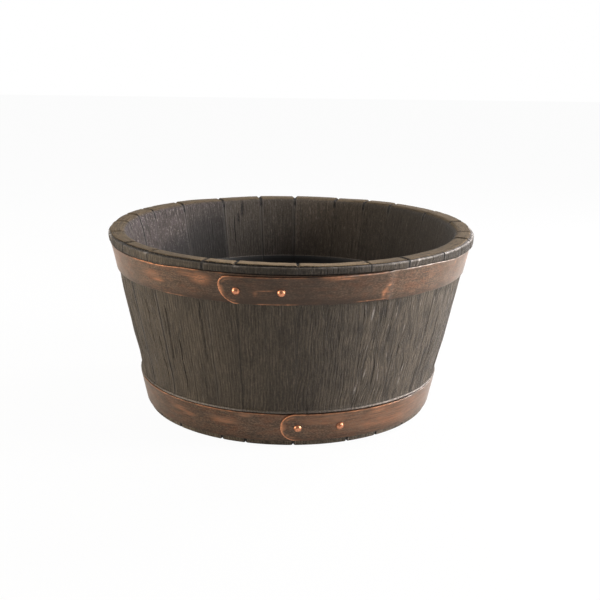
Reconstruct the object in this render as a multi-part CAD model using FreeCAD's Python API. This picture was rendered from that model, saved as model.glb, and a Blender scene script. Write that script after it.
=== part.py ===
import FreeCAD
import Part
import math
import os

# Barrel planter: a coopered tub of tapered staves round a head that seats in their croze, held by two lapped
# and riveted hoops. Millimetres. The origin is the centre of the foot, +Z is up and the hoop laps face -Y.
# Angles round the tub are in degrees from the front (-Y), growing towards +X, which is to the right.

Vector = FreeCAD.Vector

# Tub. The body's taper, carried up to the rim's height, ends a little inside the rim band.
height = 296.0
rim_radius = 300.0
base_radius = 237.0
body_inside_rim = 1.0
stave_thickness = 27.0

# Staves, measured round the rim, from the joint just right of the front and on to the right
stave_widths = [107, 67, 79, 109, 56, 86, 106, 101, 61, 65, 86, 72,
                83, 97, 89, 58, 59, 93, 91, 74, 105, 49, 93]
first_joint_right_of_front = 11.5
stave_joint_gap = 0.2
end_vee_depth = 4.0
face_vee_depth = 1.2
rim_inner_round = 6.0
rim_band_height = 14.0
rim_step_depth = 4.0
rim_step_inset = 3.0
bead_height = 3.0
bead_proud = 2.2
edge_round = 0.8
foot_outer_round = 2.0
foot_inner_bevel = 7.0

# Head, the floor of the tub
chime_depth = 38.0
head_thickness = 22.0
head_edge_thickness = 8.0
head_bevel_width = 14.0
croze_depth = 6.0
croze_clearance = 0.25
head_board_widths = [80, 94, 102, 90, 84]
head_joint_gap = 0.2
dowel_diameter = 10.0
dowel_length = 50.0
dowel_clearance = 0.1
drain_hole_diameter = 20.0
drain_hole_spread = 220.0

# Hoops, flat strip bent to the taper of the tub
hoop_thickness = 2.5
hoop_edge_round = 0.8
hoop_seat_clearance = 0.1
top_hoop_width = 45.5
top_hoop_shoulder_gap = 1.2
bottom_hoop_width = 46.0
bottom_hoop_above_foot = 9.0
bottom_hoop_bead_gap = 1.2

# Hoop laps. The outer layer runs from its round end, over the inner end, to a joggle down onto the tub. It is
# a little narrower than the strip, and its upper edge may sit lower than the strip's.
top_lap_end_left_of_front = 103.0
top_lap_length = 248.0
top_lap_width = 42.0
top_lap_drop = 4.0
top_joggle_length = 12.0
bottom_lap_end_left_of_front = 12.0
bottom_lap_length = 190.0
bottom_lap_width = 45.0
bottom_lap_drop = 0.0
bottom_joggle_length = 34.0
lap_clearance = 0.2
joggle_gap = 2.0

# Rivets of both laps
lap_end_to_rivet = 26.0
rivet_pitch = 65.0
rivet_head_diameter = 12.0
rivet_head_height = 4.5
rivet_shank_diameter = 6.0
rivet_clearance = 0.1

# Worked out from the sizes above
taper = (rim_radius - body_inside_rim - base_radius) / height
taper_angle = math.degrees(math.atan(taper))
hoop_proud = hoop_seat_clearance + hoop_thickness
shoulder_height = height - rim_band_height
step_height = height - rim_step_depth
bead_low = bottom_hoop_above_foot + bottom_hoop_width + bottom_hoop_bead_gap
bead_high = bead_low + bead_height
top_hoop_low = shoulder_height - top_hoop_shoulder_gap - top_hoop_width
head_middle = chime_depth + head_thickness / 2
cutter_margin = 5.0


def body_radius(z):
    """Radius of the tub's outer face, which the hoops sit on."""
    return base_radius + taper * z


def inner_radius(z):
    """Radius of the tub's inner face."""
    return body_radius(z) - stave_thickness


def band_radius(z):
    """Radius of the rim band's face, flush with the top hoop at the shoulder and at the rim's size at the step."""
    low_radius = body_radius(shoulder_height) + hoop_proud
    flare = (rim_radius - low_radius) / (step_height - shoulder_height)
    return low_radius + flare * (z - shoulder_height)


head_tip_radius = inner_radius(head_middle) + croze_depth - croze_clearance
head_flat_radius = head_tip_radius - head_bevel_width


def to_tub_angle(shape, angle):
    """Turns a shape made on the +X axis to its place round the tub."""
    turned = shape.copy()
    turned.rotate(Vector(0, 0, 0), Vector(0, 0, 1), angle - 90)
    return turned


def degrees_along(length, radius):
    """Angle that a length takes up round a circle."""
    return math.degrees(length / radius)


def outline_face(corners):
    """Face in the XZ plane through (radius, height, rounding) corners, with an arc at each rounded one."""
    points = [Vector(radius, 0, z) for radius, z, _ in corners]
    runs = []
    for i, (_, _, rounding) in enumerate(corners):
        corner = points[i]
        back = (points[i - 1] - corner).normalize()
        ahead = (points[(i + 1) % len(points)] - corner).normalize()
        if rounding == 0:
            runs.append((corner, None, corner))
            continue
        half_angle = back.getAngle(ahead) / 2
        leg = rounding / math.tan(half_angle)
        crown = rounding / math.sin(half_angle) - rounding
        runs.append((corner + back * leg, corner + (back + ahead).normalize() * crown, corner + ahead * leg))
    edges = []
    for i, (start, crown, end) in enumerate(runs):
        if crown is not None:
            edges.append(Part.Arc(start, crown, end).toShape())
        edges.append(Part.LineSegment(end, runs[(i + 1) % len(runs)][0]).toShape())
    return Part.Face(Part.Wire(edges))


def revolved(face, sweep=360.0):
    """Solid of a face in the XZ plane turned about the tub's axis, from the +X axis."""
    return face.revolve(Vector(0, 0, 0), Vector(0, 0, 1), sweep)


def stave_outline():
    """Section of a stave: a bead over the bottom hoop, a rim band with a step over it and a bevelled chime."""
    return outline_face([
        (body_radius(0), 0, foot_outer_round),
        (body_radius(bead_low), bead_low, 0),
        (body_radius(bead_low) + bead_proud, bead_low, edge_round),
        (body_radius(bead_high) + bead_proud, bead_high, edge_round),
        (body_radius(bead_high), bead_high, 0),
        (body_radius(shoulder_height), shoulder_height, 0),
        (band_radius(shoulder_height), shoulder_height, 0),
        (band_radius(step_height), step_height, edge_round),
        (rim_radius - rim_step_inset, step_height, 0),
        (rim_radius - rim_step_inset, height, edge_round),
        (inner_radius(height), height, rim_inner_round),
        (inner_radius(foot_inner_bevel), foot_inner_bevel, 0),
        (inner_radius(0) + foot_inner_bevel, 0, 0),
    ])


def end_vee(z, outward):
    """Cutter on the +X axis for the vee where a joint meets the rim (outward 1) or the foot (outward -1)."""
    near = inner_radius(0) - cutter_margin
    far = rim_radius + cutter_margin
    side = end_vee_depth + cutter_margin
    open_left = Vector(near, -side, z + outward * cutter_margin)
    open_right = Vector(near, side, z + outward * cutter_margin)
    root = Vector(near, 0, z - outward * end_vee_depth)
    section = Part.Face(Part.makePolygon([open_left, open_right, root, open_left]))
    return section.extrude(Vector(far - near, 0, 0))


def face_vee(low, low_radius, high, high_radius):
    """Cutter on the +X axis for the vee down a joint's outer face, between two heights."""
    side = face_vee_depth + cutter_margin
    sections = []
    for z, radius in ((low, low_radius), (high, high_radius)):
        root = Vector(radius - face_vee_depth, 0, z)
        open_left = Vector(radius + cutter_margin, -side, z)
        open_right = Vector(radius + cutter_margin, side, z)
        sections.append(Part.makePolygon([root, open_right, open_left, root]))
    return Part.makeLoft(sections, True, True)


def joint_vees():
    """Cutters on the +X axis that ease one stave joint, across both ends and down the outer face."""
    low = -cutter_margin
    return [end_vee(height, 1), end_vee(0, -1),
            face_vee(low, body_radius(low), bead_low, body_radius(bead_low)),
            face_vee(bead_low, body_radius(bead_low) + bead_proud, bead_high, body_radius(bead_high) + bead_proud),
            face_vee(bead_high, body_radius(bead_high), shoulder_height, body_radius(shoulder_height)),
            face_vee(shoulder_height, band_radius(shoulder_height), height, band_radius(height))]


def stave_joints():
    """Angles of the joints between staves, all the way round from the first joint back to itself."""
    angles = [degrees_along(first_joint_right_of_front, rim_radius)]
    for width in stave_widths:
        angles.append(angles[-1] + 360.0 * width / sum(stave_widths))
    return angles


def head_blank(clearance=0.0):
    """Round head with its edge bevelled on both faces to enter the croze, grown by a clearance."""
    half = head_thickness / 2 + clearance
    half_edge = head_edge_thickness / 2 + clearance
    tip = head_tip_radius + clearance
    return revolved(outline_face([
        (0, head_middle - half, 0),
        (head_flat_radius, head_middle - half, 0),
        (tip, head_middle - half_edge, 0),
        (tip, head_middle + half_edge, 0),
        (head_flat_radius, head_middle + half, 0),
        (0, head_middle + half, 0),
    ]))


def staves():
    """Every stave by name: a sector of the tub with its croze cut and its joint edges eased."""
    outline = stave_outline()
    croze = head_blank(croze_clearance)
    vees = joint_vees()
    joints = stave_joints()
    gap = degrees_along(stave_joint_gap, base_radius)
    made = {}
    for i, (left, right) in enumerate(zip(joints, joints[1:])):
        blank = to_tub_angle(revolved(outline, right - left - gap), left + gap / 2)
        easings = [to_tub_angle(vee, angle) for angle in (left, right) for vee in vees]
        made[f"stave_{i + 1:02d}"] = blank.cut([croze] + easings)
    return made


def head_edges():
    """Places across the head of its board edges, from front to back."""
    edges = [-head_tip_radius]
    for width in head_board_widths:
        edges.append(edges[-1] + 2 * head_tip_radius * width / sum(head_board_widths))
    return edges


def dowel_places():
    """Middles of the dowels: two across each joint, a quarter of the joint in from its ends."""
    places = []
    for y in head_edges()[1:-1]:
        half_joint = math.sqrt(head_flat_radius ** 2 - y ** 2)
        places += [Vector(side * half_joint / 2, y, head_middle) for side in (-1, 1)]
    return places


def drain_places():
    """Drain holes: one at the middle of the middle board and two in each board beside it."""
    edges = head_edges()
    board_middles = [(front + back) / 2 for front, back in zip(edges, edges[1:])]
    middle = len(board_middles) // 2
    places = [(0, board_middles[middle])]
    for board in (middle - 1, middle + 1):
        places += [(side * drain_hole_spread / 2, board_middles[board]) for side in (-1, 1)]
    return places


def dowel(place, clearance=0.0):
    """One dowel across a joint, with its middle at a place, grown by a clearance."""
    length = dowel_length + 2 * clearance
    start = place - Vector(0, length / 2, 0)
    return Part.makeCylinder(dowel_diameter / 2 + clearance, length, start, Vector(0, 1, 0))


def head_boards():
    """The head's boards by name, sawn from one round blank and bored for the dowels and drains."""
    blank = head_blank()
    low = chime_depth - cutter_margin
    depth = head_thickness + 2 * cutter_margin
    bores = [dowel(place, dowel_clearance) for place in dowel_places()]
    for x, y in drain_places():
        bores.append(Part.makeCylinder(drain_hole_diameter / 2, depth, Vector(x, y, low)))
    edges = head_edges()
    span = 2 * (head_tip_radius + cutter_margin)
    made = {}
    for i, (front, back) in enumerate(zip(edges, edges[1:])):
        corner = Vector(-span / 2, front + head_joint_gap / 2, low)
        sawn = Part.makeBox(span, back - front - head_joint_gap, depth, corner)
        made[f"head_board_{i + 1}"] = blank.common(sawn).cut(bores)
    return made


class Hoop:
    """A strip hoop on the tub's taper, whose outer end laps over its inner end and is riveted to it."""

    def __init__(self, low, width, lap_end_left_of_front, lap_length, lap_width, lap_drop, joggle_length):
        self.low = low
        self.high = low + width
        self.lap_high = self.high - lap_drop
        self.lap_width = lap_width
        self.joggle_length = joggle_length
        self.lap_lift = hoop_thickness + lap_clearance
        self.lap_middle = self.lap_high - lap_width / 2
        self.radius = body_radius(self.lap_middle) + hoop_proud
        self.lap_end = -degrees_along(lap_end_left_of_front, self.radius)
        self.inner_end = self.lap_end + degrees_along(lap_length, self.radius)
        first_rivet = self.lap_end + degrees_along(lap_end_to_rivet, self.radius)
        self.rivet_angles = [first_rivet, first_rivet + degrees_along(rivet_pitch, self.radius)]

    def section(self, low, high, lift=0.0):
        """Section of the strip between two heights, lifted off its seat on the tub."""
        seat = hoop_seat_clearance + lift
        return outline_face([
            (body_radius(low) + seat, low, 0),
            (body_radius(low) + seat + hoop_thickness, low, hoop_edge_round),
            (body_radius(high) + seat + hoop_thickness, high, hoop_edge_round),
            (body_radius(high) + seat, high, 0),
        ])

    def lap_corners(self):
        """Cutter on the +X axis that leaves a half-round lap end, its round centred on the axis."""
        half = self.lap_width / 2
        reach = half + cutter_margin
        depth = 2 * (self.lap_lift + taper * self.lap_width + cutter_margin)
        near = self.radius - depth / 2
        block = Part.makeBox(depth, reach, 2 * reach, Vector(near, -reach, self.lap_middle - reach))
        round_end = Part.makeCylinder(half, depth, Vector(near, 0, self.lap_middle), Vector(1, 0, 0))
        return block.cut(round_end)

    def strip(self):
        """The hoop: one turn on the tub, a joggle out over its inner end, and the lap with its round end."""
        joggle_top = self.inner_end + degrees_along(joggle_gap, self.radius)
        joggle_foot = joggle_top + degrees_along(self.joggle_length, self.radius)
        on_tub = self.section(self.low, self.high)
        on_lap = self.section(self.lap_high - self.lap_width, self.lap_high, self.lap_lift)
        turn = to_tub_angle(revolved(on_tub, self.inner_end + 360 - joggle_foot), joggle_foot)
        lap = to_tub_angle(revolved(on_lap, joggle_top - self.lap_end), self.lap_end)
        round_centre = self.lap_end + degrees_along(self.lap_width / 2, self.radius)
        lap = lap.cut(to_tub_angle(self.lap_corners(), round_centre))
        joggle_ends = [to_tub_angle(on_lap, joggle_top), to_tub_angle(on_tub, joggle_foot)]
        joggle = Part.makeLoft([end.OuterWire for end in joggle_ends], True, True)
        holes = [self.at_rivet(self.rivet_hole(), angle) for angle in self.rivet_angles]
        return turn.fuse([joggle, lap]).cut(holes)

    def at_rivet(self, shape, angle):
        """Moves a shape made on +Z, from the tub's face at its origin, to a rivet's place on the taper."""
        placed = shape.copy()
        placed.rotate(Vector(0, 0, 0), Vector(0, 1, 0), 90 + taper_angle)
        placed.translate(Vector(body_radius(self.lap_middle), 0, self.lap_middle))
        return to_tub_angle(placed, angle)

    def lap_face(self):
        """Height of the lap's outer face above the tub's face, square to it."""
        return (hoop_proud + self.lap_lift) * math.cos(math.radians(taper_angle))

    def rivet_hole(self):
        """Cutter on +Z for a rivet's hole through both layers of the lap."""
        radius = rivet_shank_diameter / 2 + rivet_clearance
        return Part.makeCylinder(radius, self.lap_face() + 2 * cutter_margin, Vector(0, 0, -cutter_margin))

    def rivet(self):
        """One rivet on +Z: a shank through the lap with a domed head seated on the lap's outer face."""
        shank = rivet_shank_diameter / 2
        rim = rivet_head_diameter / 2
        face = self.lap_face()
        dome_radius = (rim ** 2 + rivet_head_height ** 2) / (2 * rivet_head_height)
        dome_middle = face + rivet_head_height - dome_radius
        half_turn = math.atan2(rim, face - dome_middle) / 2
        middle = Vector(0, 0, dome_middle)
        on_dome = middle + Vector(math.sin(half_turn), 0, math.cos(half_turn)) * dome_radius
        crown = Vector(0, 0, face + rivet_head_height)
        path = [crown, Vector(0, 0, rivet_clearance), Vector(shank, 0, rivet_clearance),
                Vector(shank, 0, face), Vector(rim, 0, face)]
        edges = [Part.LineSegment(start, end).toShape() for start, end in zip(path, path[1:])]
        edges.append(Part.Arc(path[-1], on_dome, crown).toShape())
        return revolved(Part.Face(Part.Wire(edges)))

    def rivets(self):
        """Both rivets of the lap, as one group."""
        return Part.makeCompound([self.at_rivet(self.rivet(), angle) for angle in self.rivet_angles])


def build():
    """Every sub-part of the planter by name."""
    top = Hoop(top_hoop_low, top_hoop_width, top_lap_end_left_of_front, top_lap_length, top_lap_width,
               top_lap_drop, top_joggle_length)
    bottom = Hoop(bottom_hoop_above_foot, bottom_hoop_width, bottom_lap_end_left_of_front, bottom_lap_length,
                  bottom_lap_width, bottom_lap_drop, bottom_joggle_length)
    parts = staves()
    parts.update(head_boards())
    parts["head_dowels"] = Part.makeCompound([dowel(place) for place in dowel_places()])
    parts["top_hoop"] = top.strip()
    parts["bottom_hoop"] = bottom.strip()
    parts["top_hoop_rivets"] = top.rivets()
    parts["bottom_hoop_rivets"] = bottom.rivets()
    return parts


os.makedirs("parts", exist_ok=True)
for node, shape in build().items():
    shape.exportStep(f"parts/{node}.step")
    print(f"{node}: {len(shape.Solids)} solids, {shape.Volume / 1000:.1f} cm3, valid {shape.isValid()}")
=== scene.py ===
import math
import random
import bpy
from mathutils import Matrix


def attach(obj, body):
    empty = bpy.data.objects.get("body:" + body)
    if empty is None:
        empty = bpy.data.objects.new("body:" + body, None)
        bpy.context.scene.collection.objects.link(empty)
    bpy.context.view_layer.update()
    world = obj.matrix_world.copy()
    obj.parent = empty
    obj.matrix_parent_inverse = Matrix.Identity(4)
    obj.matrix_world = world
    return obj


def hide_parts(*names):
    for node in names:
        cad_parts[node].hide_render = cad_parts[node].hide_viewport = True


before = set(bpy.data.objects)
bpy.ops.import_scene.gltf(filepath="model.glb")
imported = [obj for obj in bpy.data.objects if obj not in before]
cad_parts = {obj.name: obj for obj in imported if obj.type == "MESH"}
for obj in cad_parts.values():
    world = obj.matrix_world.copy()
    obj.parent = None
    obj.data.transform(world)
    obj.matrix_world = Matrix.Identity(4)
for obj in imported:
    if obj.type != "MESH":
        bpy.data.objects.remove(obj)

from types import SimpleNamespace

import bmesh
import bpy
from mathutils import Matrix, Vector, noise

scene = bpy.context.scene
scene.view_settings.view_transform = "Standard"
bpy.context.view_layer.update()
print("frame loaded,", len(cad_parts), "nodes")

# sizes of the tub in metres, as in the frame, and how far this one is out of true
# a row of four values is a window: where something starts, is full, begins to fade and ends
tub = {
    "height": 0.296,
    "rimRadius": 0.300,
    "bodyInset": 0.001,      # the wall's own line runs this far inside the rim
    "footRadius": 0.237,     # outside of the wall at the floor
    "wall": 0.027,           # thickness of a stave
    "bandHeight": 0.014,     # the proud band over the top hoop
    "hoopProud": 0.0026,
    "headLow": 0.038,        # underside of the floor of the tub
    "coatLine": 0.188,       # the black coat inside ends here
    "coatFoot": 0.050,
    "coatThickness": 0.0008,
    "footLean": 0.0018,      # the foot stands a little to the left
    "leanHeights": (0.10, 0.05),
    "waist": 0.0013,         # the wall draws in over the bead
    "waistHeights": (0.0595, 0.0630, 0.090, 0.125),
    "pinchLeft": 0.0016,     # and under the top hoop on the left
    "pinchHeights": (0.190, 0.235, 0.272, 0.284),
    "pinchDegrees": (-125, -100, -75, -50),
}
taper = (tub["rimRadius"] - tub["bodyInset"] - tub["footRadius"]) / tub["height"]


def wallRadius(z):
    return tub["footRadius"] + taper * z


def ramp(low, high, value):
    t = min(1.0, max(0.0, (value - low) / (high - low)))
    return t * t * (3 - 2 * t)


def window(limits, value):
    starts, full, fades, ends = limits
    return ramp(starts, full, value) * ramp(ends, fades, value)


def grainNoise(a, b, c):
    return noise.noise(Vector((a, b, c)))


def faceNoise(scale, across, z, seed, layer=0):
    return grainNoise(across * scale[0] + seed, z * scale[1], seed + layer)


def turnOf(point):
    return math.atan2(point[0], -point[1])     # from the front, growing to the right


def halfTurns(turn):
    return (turn + math.pi) % (2 * math.pi) - math.pi


def degreesOf(turn):
    return math.degrees(turn + math.pi) % 360 - 180


def leanAt(z):
    return -tub["footLean"] * ramp(*tub["leanHeights"], z)


def drawnIn(turn, z):
    left = window(tub["pinchDegrees"], degreesOf(turn))
    pinch = tub["pinchLeft"] * left * window(tub["pinchHeights"], z)
    return tub["waist"] * window(tub["waistHeights"], z) + pinch


def onTub(turn, radius, z):
    radius -= drawnIn(turn, z)
    return Vector((radius * math.sin(turn) + leanAt(z), -radius * math.cos(turn), z))


# node helpers
def setInput(tree, socket, value):
    if isinstance(value, bpy.types.NodeSocket):
        tree.links.new(value, socket)
    else:
        socket.default_value = value


def addNode(tree, kind, inputs=None, **traits):
    made = tree.nodes.new("ShaderNode" + kind)
    for trait, value in traits.items():
        setattr(made, trait, value)
    for socket, value in (inputs or {}).items():
        setInput(tree, made.inputs[socket], value)
    return made


def mixColours(tree, amount, first, second, mode="MIX"):
    made = addNode(tree, "Mix", data_type="RGBA", blend_type=mode)
    for index, value in ((0, amount), (6, first), (7, second)):
        setInput(tree, made.inputs[index], value)
    return made.outputs[2]


def mixNumbers(tree, amount, first, second):
    made = addNode(tree, "Mix", {0: amount, 2: first, 3: second}, data_type="FLOAT")
    return made.outputs[0]


def sums(tree, operation, first, second=0.5, clamp=False):
    return addNode(tree, "Math", {0: first, 1: second}, operation=operation, use_clamp=clamp).outputs[0]


def times(tree, first, second, clamp=False):
    return sums(tree, "MULTIPLY", first, second, clamp)


def plus(tree, first, second, clamp=False):
    return sums(tree, "ADD", first, second, clamp)


def minus(tree, first, second):
    return sums(tree, "SUBTRACT", first, second)


def spread(tree, value, fromLow, fromHigh, toLow=0.0, toHigh=1.0):
    names = ("Value", "From Min", "From Max", "To Min", "To Max")
    return addNode(tree, "MapRange", dict(zip(names, (value, fromLow, fromHigh, toLow, toHigh)))).outputs[0]


def colour(red, green, blue):
    def linear(part):
        part /= 255
        return part / 12.92 if part < 0.04045 else ((part + 0.055) / 1.055) ** 2.4
    return linear(red), linear(green), linear(blue), 1.0


def stretched(tree, place, scale, detail=3.0, roughness=0.55, move=(0, 0, 0)):
    moved = addNode(tree, "Mapping", {"Vector": place, "Scale": scale, "Location": move}).outputs[0]
    settings = {"Vector": moved, "Scale": 1.0, "Detail": detail, "Roughness": roughness}
    return addNode(tree, "TexNoise", settings).outputs[0]


def allNoises(tree, place, looks):
    return {kind: stretched(tree, place, *traits) for kind, traits in looks["noises"].items()}


def addLayers(tree, tone, looks, layers, noises, marks=None):
    for kind, starts, full, toward, share, byMark in layers:
        for mark, strength in byMark.items():
            part = times(tree, marks[mark], strength)
            share = part if share == 0 else plus(tree, part, share)
        shown = times(tree, spread(tree, noises[kind], starts, full), share)
        tone = mixColours(tree, shown, tone, looks[toward])
    return tone


def addBump(tree, shader, height, distance, strength):
    bump = addNode(tree, "Bump", {"Height": height, "Distance": distance, "Strength": strength})
    tree.links.new(bump.outputs[0], shader.inputs["Normal"])


def newMaterial(name):
    material = bpy.data.materials.new(name)
    material.use_nodes = True
    return material, material.node_tree, material.node_tree.nodes["Principled BSDF"]


# dark weathered wood: fibres along the stave, late-wood lines, pores, grime in the joints with painted shade
# in recesses, black coat inside, rubbed edges with painted glints, and a painted sheen on the inner faces
staveLooks = {
    "deep": colour(46, 40, 33),
    "body": colour(84, 75, 63),
    "pale": colour(118, 105, 90),
    "fleck": colour(168, 158, 150),
    "inside": colour(62, 56, 51),
    "endGrain": colour(114, 97, 73),
    "endLines": colour(72, 60, 44),
    # grey of sun-bleached wood, and painted sheen where light falls inside
    "silverSheen": colour(81, 69, 70),
    "coat": colour(32, 31, 31),
    # pale rubbed wood, also the colour of painted glints and highlights
    "rubbed": colour(206, 196, 188),
    # dark of pores, cracks and grime, also used for painted shade
    "grimeAndShade": colour(22, 18, 15),
    # scale, detail, roughness, move
    "noises": {
        "fibre": ((520, 520, 52), 4.0, 0.64),
        "streak": ((95, 95, 5), 3.0, 0.6, (7, 3, 1)),
        "clouds": ((34, 34, 16), 3.0, 0.6, (5, 2, 8)),
        "winding": ((150, 150, 8), 3.0, 0.55, (3, 8, 5)),
        "pores": ((430, 430, 44), 3.0, 0.6, (2, 9, 4)),
        "flecks": ((330, 330, 34), 3.0, 0.55, (9, 1, 6)),
        "hairs": ((760, 760, 60), 2.0, 0.5, (4, 4, 2)),
        "speckle": ((620, 620, 330), 3.0, 0.6),
        "dustAndSheen": ((560, 560, 110), 3.0, 0.6, (6, 6, 1)),
        "specks": ((330, 330, 280), 2.0, 0.6, (8, 2, 3)),
        "flaking": ((380, 380, 34), 3.0, 0.6, (2, 7, 3)),
        "rings": ((60, 640, 60), 4.0, 0.6, (1, 5, 0)),
    },
    # noise, starts, full, colour, strength everywhere, and strength by mark
    "faceLayers": (
        ("cracks", 0.0, 1.0, "grimeAndShade", 0.05, {"weathered": 0.55}),
        ("flecks", 0.66, 0.74, "fleck", 0, {"weathered": 0.7}),
        ("hairs", 0.48, 0.62, "deep", 0.5, {}),
    ),
    # inside: dust, pale specks painted as highlights with the sheen, flaking and hairs
    "insideLayers": (
        ("dustAndSheen", 0.56, 0.70, "fleck", 0, {"bleached": 0.36, "inside": 0.16}),
        ("specks", 0.58, 0.68, "fleck", 0, {"bleached": 0.42}),
        ("flaking", 0.46, 0.36, "deep", 0, {"bleached": 0.42, "inside": 0.4}),
        ("hairs", 0.50, 0.62, "deep", 0, {"bleached": 0.6, "inside": 0.2}),
    ),
    "lastLayers": (
        ("speckle", 0.50, 0.66, "deep", 0.3, {}),
        ("speckle", 0.48, 0.34, "pale", 0.22, {}),
    ),
    "crackWidth": (0.05, 0.015),
    "poresShow": (0.57, 0.63),
    "poreStrength": 0.75,
    "insideStrength": 0.75,
    "bump": 0.0008,
    "gloss": 0.4,
    "sheen": 0.18,           # pale dusty look at a flat angle
    "sheenSpread": 0.22,
    # roughness of the valleys and ridges of the grain, then of each finish
    "faceRough": (0.86, 0.66),
    "endRough": 0.95,
    "coatRough": 0.5,
    "rubbedRough": 0.22,
}


def woodTone(tree, looks, streak, fibre, late, pores):
    tone = mixColours(tree, spread(tree, streak, 0.2, 0.6), looks["deep"], looks["body"])
    tone = mixColours(tree, times(tree, spread(tree, fibre, 0.46, 0.66), 0.5), tone, looks["pale"])
    tone = mixColours(tree, times(tree, late, 0.55), tone, looks["deep"])
    return mixColours(tree, pores, tone, looks["grimeAndShade"])


def makeStaveWood(name, looks):
    material, tree, shader = newMaterial(name)

    def mark(attribute, output="Fac"):
        return addNode(tree, "Attribute", attribute_name=attribute).outputs[output]

    marks = {kind: mark(kind) for kind in ("weathered", "inside", "bleached", "jointGrimeAndShade", "ringPhase")}
    weathered, inside = marks["weathered"], marks["inside"]
    packed = addNode(tree, "Attribute", attribute_name="woodMarks")
    staveToneAndLight, rimMark, coatMark = addNode(tree, "SeparateColor", {"Color": packed.outputs["Color"]}).outputs
    rubbedAndLitMark = packed.outputs["Alpha"]
    noises = allNoises(tree, mark("grainPlace", "Vector"), looks)
    fibre, speckle, rings = noises["fibre"], noises["speckle"], noises["rings"]
    winding = sums(tree, "ABSOLUTE", minus(tree, noises["winding"], 0.5))
    cracks = noises["cracks"] = spread(tree, winding, *looks["crackWidth"])
    pores = spread(tree, noises["pores"], *looks["poresShow"])
    turned = sums(tree, "FRACT", plus(tree, marks["ringPhase"], times(tree, fibre, 0.4)))
    late = times(tree, spread(tree, turned, 0.64, 0.84), spread(tree, turned, 1.0, 0.93))
    # faces: streaks and lines, cracks, flecks, then what is dusty and bleached inside, with painted sheen and
    # painted pale specks on the lit inner faces
    depth = plus(tree, times(tree, noises["streak"], 0.15), times(tree, noises["clouds"], 0.85))
    openPores = times(tree, pores, times(tree, weathered, looks["poreStrength"]))
    tone = woodTone(tree, looks, depth, fibre, late, openPores)
    tone = addLayers(tree, tone, looks, looks["faceLayers"], noises, marks)
    tone = mixColours(tree, times(tree, inside, looks["insideStrength"]), tone, looks["inside"])
    blend = plus(tree, times(tree, speckle, 0.5), times(tree, fibre, 0.5))
    # painted sheen on the lit inner faces, over a sun-bleached grey
    sunnedAndSheen = times(tree, marks["bleached"], spread(tree, blend, 0.36, 0.6))
    tone = mixColours(tree, sunnedAndSheen, tone, looks["silverSheen"])
    tone = addLayers(tree, tone, looks, looks["insideLayers"], noises, marks)
    # end grain on the rim, then each stave's tone with painted light and shade, rubbed edges with painted
    # glints, coat, and grime with painted shade
    endTone = mixColours(tree, spread(tree, rings, 0.42, 0.66), looks["endGrain"], looks["endLines"])
    endTone = mixColours(tree, times(tree, spread(tree, speckle, 0.54, 0.72), 0.6), endTone, looks["deep"])
    tone = mixColours(tree, rimMark, tone, endTone)
    tone = addLayers(tree, tone, looks, looks["lastLayers"], noises)
    grey = addNode(tree, "CombineColor", {0: staveToneAndLight, 1: staveToneAndLight, 2: staveToneAndLight}).outputs[0]
    tone = mixColours(tree, 1.0, tone, grey, "MULTIPLY")
    # pale rubbed edges and painted glints
    tone = mixColours(tree, times(tree, rubbedAndLitMark, spread(tree, speckle, 0.34, 0.54)), tone, looks["rubbed"])
    tone = mixColours(tree, coatMark, tone, looks["coat"])
    # grime in joints, splits and stains, and painted shade in recesses and on the band
    grimeAndShade = times(tree, marks["jointGrimeAndShade"], spread(tree, speckle, 0.22, 0.48), True)
    tree.links.new(mixColours(tree, grimeAndShade, tone, looks["grimeAndShade"]), shader.inputs["Base Color"])
    rough = mixNumbers(tree, rimMark, spread(tree, fibre, 0.3, 0.7, *looks["faceRough"]), looks["endRough"])
    rough = mixNumbers(tree, coatMark, rough, looks["coatRough"])
    tree.links.new(mixNumbers(tree, rubbedAndLitMark, rough, looks["rubbedRough"]), shader.inputs["Roughness"])
    shader.inputs["Specular IOR Level"].default_value = looks["gloss"]
    outer = times(tree, minus(tree, 1.0, inside), minus(tree, 1.0, rimMark))
    tree.links.new(times(tree, outer, looks["sheen"]), shader.inputs["Sheen Weight"])
    shader.inputs["Sheen Roughness"].default_value = looks["sheenSpread"]
    ridge = minus(tree, fibre, plus(tree, times(tree, pores, 0.45), times(tree, late, 0.3)))
    ridge = minus(tree, ridge, times(tree, cracks, 0.4))
    ridge = times(tree, ridge, plus(tree, times(tree, weathered, 0.7), 0.4))
    ridge = plus(tree, ridge, times(tree, noises["hairs"], 0.3))
    relief = mixNumbers(tree, rimMark, ridge, times(tree, plus(tree, rings, speckle), 0.4))
    relief = mixNumbers(tree, coatMark, relief, times(tree, speckle, 0.4))
    addBump(tree, shader, relief, looks["bump"], 0.8)
    return material


staveWood = makeStaveWood("staveWood", staveLooks)
print("stave wood ready")


# one stave: a section through the wall, spun over its own angle, then grained, eased, rubbed, and given
# painted light and shade
staveShape = {
    "column": 0.0011,        # mesh steps round the tub and up the wall, and across flat parts of the section
    "row": 0.0055,
    "flatRow": 0.0026,
    "flatRise": 0.004,
    "bandRow": 0.74,         # an extra row up the band, as a share of its face
    "bevel": 0.007,          # inside the foot
    "beadLow": 0.0562,       # bead that stops the bottom hoop
    "beadHeight": 0.0030,
    "beadProud": 0.0022,
    "stepDown": 0.0040,      # small step outside the rim
    "stepIn": 0.0034,
    "underHoops": ((0.009, 0.0555), (0.235, 0.2815)),
}
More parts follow.
